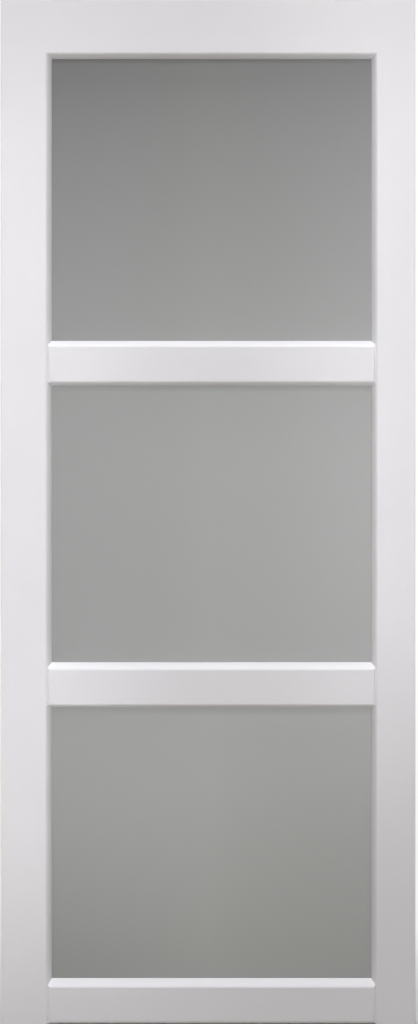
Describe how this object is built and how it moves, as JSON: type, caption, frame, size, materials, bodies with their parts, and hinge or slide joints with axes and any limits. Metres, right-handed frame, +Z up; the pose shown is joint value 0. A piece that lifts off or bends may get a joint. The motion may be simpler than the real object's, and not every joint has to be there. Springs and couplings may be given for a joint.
{
  "type": "glazed sliding door",
  "caption": "White painted stile-and-rail sliding door with satin glass lights between moulded rails, hung by trolleys from a soffit track and steered by a floor guide.",
  "frame": {"origin": "middle of the track's flat top face, in the mid-plane of the leaf", "axes": "+Z up, +X along the track towards the closing side, the front of the leaf faces -Y"},
  "size_m": [1.652, 0.04, 2.098],
  "materials": {
    "white_paint": "satin white paint",
    "satin_glass": "satin etched",
    "track_aluminium": "anodised",
    "plated_steel": "zinc plated",
    "wheel_nylon": "turned nylon",
    "guide_nylon": "moulded nylon",
    "buffer_rubber": "matt"
  },
  "bodies": {
    "track_and_guide": {"track": "track_aluminium", "left_track_stop": "track_aluminium", "right_track_stop": "track_aluminium", "left_stop_buffer": "buffer_rubber", "right_stop_buffer": "buffer_rubber", "floor_guide": "guide_nylon"},
    "leaf": {"left_stile": "white_paint", "right_stile": "white_paint", "top_rail": "white_paint", "upper_mid_rail": "white_paint", "lower_mid_rail": "white_paint", "bottom_rail": "white_paint", "upper_pane": "satin_glass", "middle_pane": "satin_glass", "lower_pane": "satin_glass", "upper_pane_top_bead": "white_paint", "upper_pane_bottom_bead": "white_paint", "upper_pane_left_bead": "white_paint", "upper_pane_right_bead": "white_paint", "middle_pane_top_bead": "white_paint", "middle_pane_bottom_bead": "white_paint", "middle_pane_left_bead": "white_paint", "middle_pane_right_bead": "white_paint", "lower_pane_top_bead": "white_paint", "lower_pane_bottom_bead": "white_paint", "lower_pane_left_bead": "white_paint", "lower_pane_right_bead": "white_paint", "left_hanger_plate": "plated_steel", "left_hanger_bolt": "plated_steel", "left_trolley": "plated_steel", "left_trolley_wheels": "wheel_nylon", "right_hanger_plate": "plated_steel", "right_hanger_bolt": "plated_steel", "right_trolley": "plated_steel", "right_trolley_wheels": "wheel_nylon"}
  },
  "joints": [
    {"name": "leaf_slide", "type": "slide", "parent": "track_and_guide", "child": "leaf", "axis": [-1, 0, 0], "range_m": [0, 0.776]}
  ]
}
